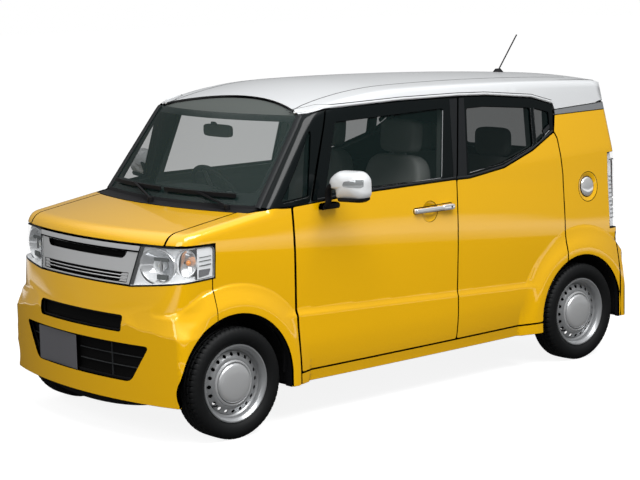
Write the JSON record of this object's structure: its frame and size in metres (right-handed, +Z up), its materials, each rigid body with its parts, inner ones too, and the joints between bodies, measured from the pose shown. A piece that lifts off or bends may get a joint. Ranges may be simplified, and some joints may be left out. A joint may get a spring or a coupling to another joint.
{
  "type": "kei car",
  "caption": "Tall-bodied small passenger car with hinged doors, bonnet and tailgate, a hollow furnished cabin, steered front wheels and rolling wheels.",
  "frame": {"origin": "on the ground, midway along the body and across it", "axes": "+X forward, +Y to the car's left, +Z up"},
  "size_m": [3.3949, 1.9704, 1.8418],
  "materials": {
    "yellow_paint": "gloss",
    "white_paint": "gloss",
    "white_cap": "gloss",
    "black_plastic": "matte",
    "chrome": "polished",
    "lamp_clear": "clear",
    "lamp_rear": "gloss",
    "screen_glass": "clear",
    "dark_glass": "tinted",
    "silver_steel": "satin",
    "tyre": "matte",
    "underbody": "matte",
    "iron": "rough",
    "aluminised": "brushed",
    "seat_fabric": "woven",
    "dash_plastic": "matte"
  },
  "bodies": {
    "car_body": {"body_side_left": "yellow_paint", "body_side_right": "yellow_paint", "roof": "white_paint", "windscreen": "screen_glass", "scuttle": "black_plastic", "grille": "chrome", "grille_back": "black_plastic", "intake_grille": "black_plastic", "front_bumper": "yellow_paint", "rear_bumper": "yellow_paint", "arch_liners": "black_plastic", "floor_pan": "underbody", "front_frame": "underbody", "engine_block": "iron", "rear_axle": "iron", "fuel_tank": "underbody", "exhaust": "aluminised", "dashboard": "dash_plastic", "front_seats": "seat_fabric", "rear_seat": "seat_fabric", "inner_mirror": "black_plastic", "wipers": "black_plastic", "antenna": "black_plastic", "corner_glass": "screen_glass", "front_wings": "yellow_paint", "headlamps": "lamp_clear", "tail_lamps": "lamp_rear"},
    "bonnet": {"bonnet": "yellow_paint"},
    "tailgate": {"tailgate": "yellow_paint", "tailgate_glass": "dark_glass"},
    "filler_lid": {"filler_lid": "yellow_paint"},
    "steering_wheel": {"steering_wheel": "dash_plastic"},
    "front_door_left": {"front_door_left": "yellow_paint", "front_door_glass_left": "screen_glass", "door_mirror_left": "white_cap", "door_handle_left": "chrome"},
    "rear_door_left": {"rear_door_left": "yellow_paint", "rear_door_glass_left": "dark_glass"},
    "knuckle_left": {"knuckle_left": "iron"},
    "front_wheel_left": {"front_wheel_left": "silver_steel", "front_tyre_left": "tyre"},
    "rear_wheel_left": {"rear_wheel_left": "silver_steel", "rear_tyre_left": "tyre"},
    "front_door_right": {"front_door_right": "yellow_paint", "front_door_glass_right": "screen_glass", "door_mirror_right": "white_cap", "door_handle_right": "chrome"},
    "rear_door_right": {"rear_door_right": "yellow_paint", "rear_door_glass_right": "dark_glass"},
    "knuckle_right": {"knuckle_right": "iron"},
    "front_wheel_right": {"front_wheel_right": "silver_steel", "front_tyre_right": "tyre"},
    "rear_wheel_right": {"rear_wheel_right": "silver_steel", "rear_tyre_right": "tyre"}
  },
  "joints": [
    {"name": "front_door_left_hinge", "type": "hinge", "parent": "car_body", "child": "front_door_left", "pos_m": [0.866, 0.716, 0.8], "axis": [0, 0, -1], "range_deg": [0, 65]},
    {"name": "rear_door_left_hinge", "type": "hinge", "parent": "car_body", "child": "rear_door_left", "pos_m": [-0.277, 0.727, 0.8], "axis": [0, 0, -1], "range_deg": [0, 70]},
    {"name": "steer_left", "type": "hinge", "parent": "car_body", "child": "knuckle_left", "pos_m": [1.2525, 0.571, 0.2785], "axis": [-0.052, -0.1246, 0.9908], "range_deg": [-33, 33]},
    {"name": "front_wheel_left_spin", "type": "hinge", "parent": "knuckle_left", "child": "front_wheel_left", "pos_m": [1.2525, 0.6525, 0.2785], "axis": [0, 1, 0], "continuous": true},
    {"name": "rear_wheel_left_spin", "type": "hinge", "parent": "car_body", "child": "rear_wheel_left", "pos_m": [-1.2675, 0.6525, 0.2785], "axis": [0, 1, 0], "continuous": true},
    {"name": "front_door_right_hinge", "type": "hinge", "parent": "car_body", "child": "front_door_right", "pos_m": [0.866, -0.716, 0.8], "axis": [0, 0, 1], "range_deg": [0, 65]},
    {"name": "rear_door_right_hinge", "type": "hinge", "parent": "car_body", "child": "rear_door_right", "pos_m": [-0.277, -0.727, 0.8], "axis": [0, 0, 1], "range_deg": [0, 70]},
    {"name": "steer_right", "type": "hinge", "parent": "car_body", "child": "knuckle_right", "pos_m": [1.2525, -0.571, 0.2785], "axis": [-0.052, 0.1246, 0.9908], "range_deg": [-33, 33]},
    {"name": "front_wheel_right_spin", "type": "hinge", "parent": "knuckle_right", "child": "front_wheel_right", "pos_m": [1.2525, -0.6525, 0.2785], "axis": [0, 1, 0], "continuous": true},
    {"name": "rear_wheel_right_spin", "type": "hinge", "parent": "car_body", "child": "rear_wheel_right", "pos_m": [-1.2675, -0.6525, 0.2785], "axis": [0, 1, 0], "continuous": true},
    {"name": "bonnet_hinge", "type": "hinge", "parent": "car_body", "child": "bonnet", "pos_m": [1.122, 0, 1.098], "axis": [0, -1, 0], "range_deg": [0, 50]},
    {"name": "tailgate_hinge", "type": "hinge", "parent": "car_body", "child": "tailgate", "pos_m": [-1.495, 0, 1.617], "axis": [0, 1, 0], "range_deg": [0, 80]},
    {"name": "filler_lid_hinge", "type": "hinge", "parent": "car_body", "child": "filler_lid", "pos_m": [-1.28, 0.708, 0.992], "axis": [0, 0, -1], "range_deg": [0, 80]},
    {"name": "steering_wheel_turn", "type": "hinge", "parent": "car_body", "child": "steering_wheel", "pos_m": [0.52, -0.34, 1.055], "axis": [-0.866, 0, 0.5], "range_deg": [-462, 462]}
  ],
  "couplings": [
    {"joint": "steer_right", "follows": "steer_left", "ratio": 1},
    {"joint": "steering_wheel_turn", "follows": "steer_left", "ratio": 14}
  ]
}
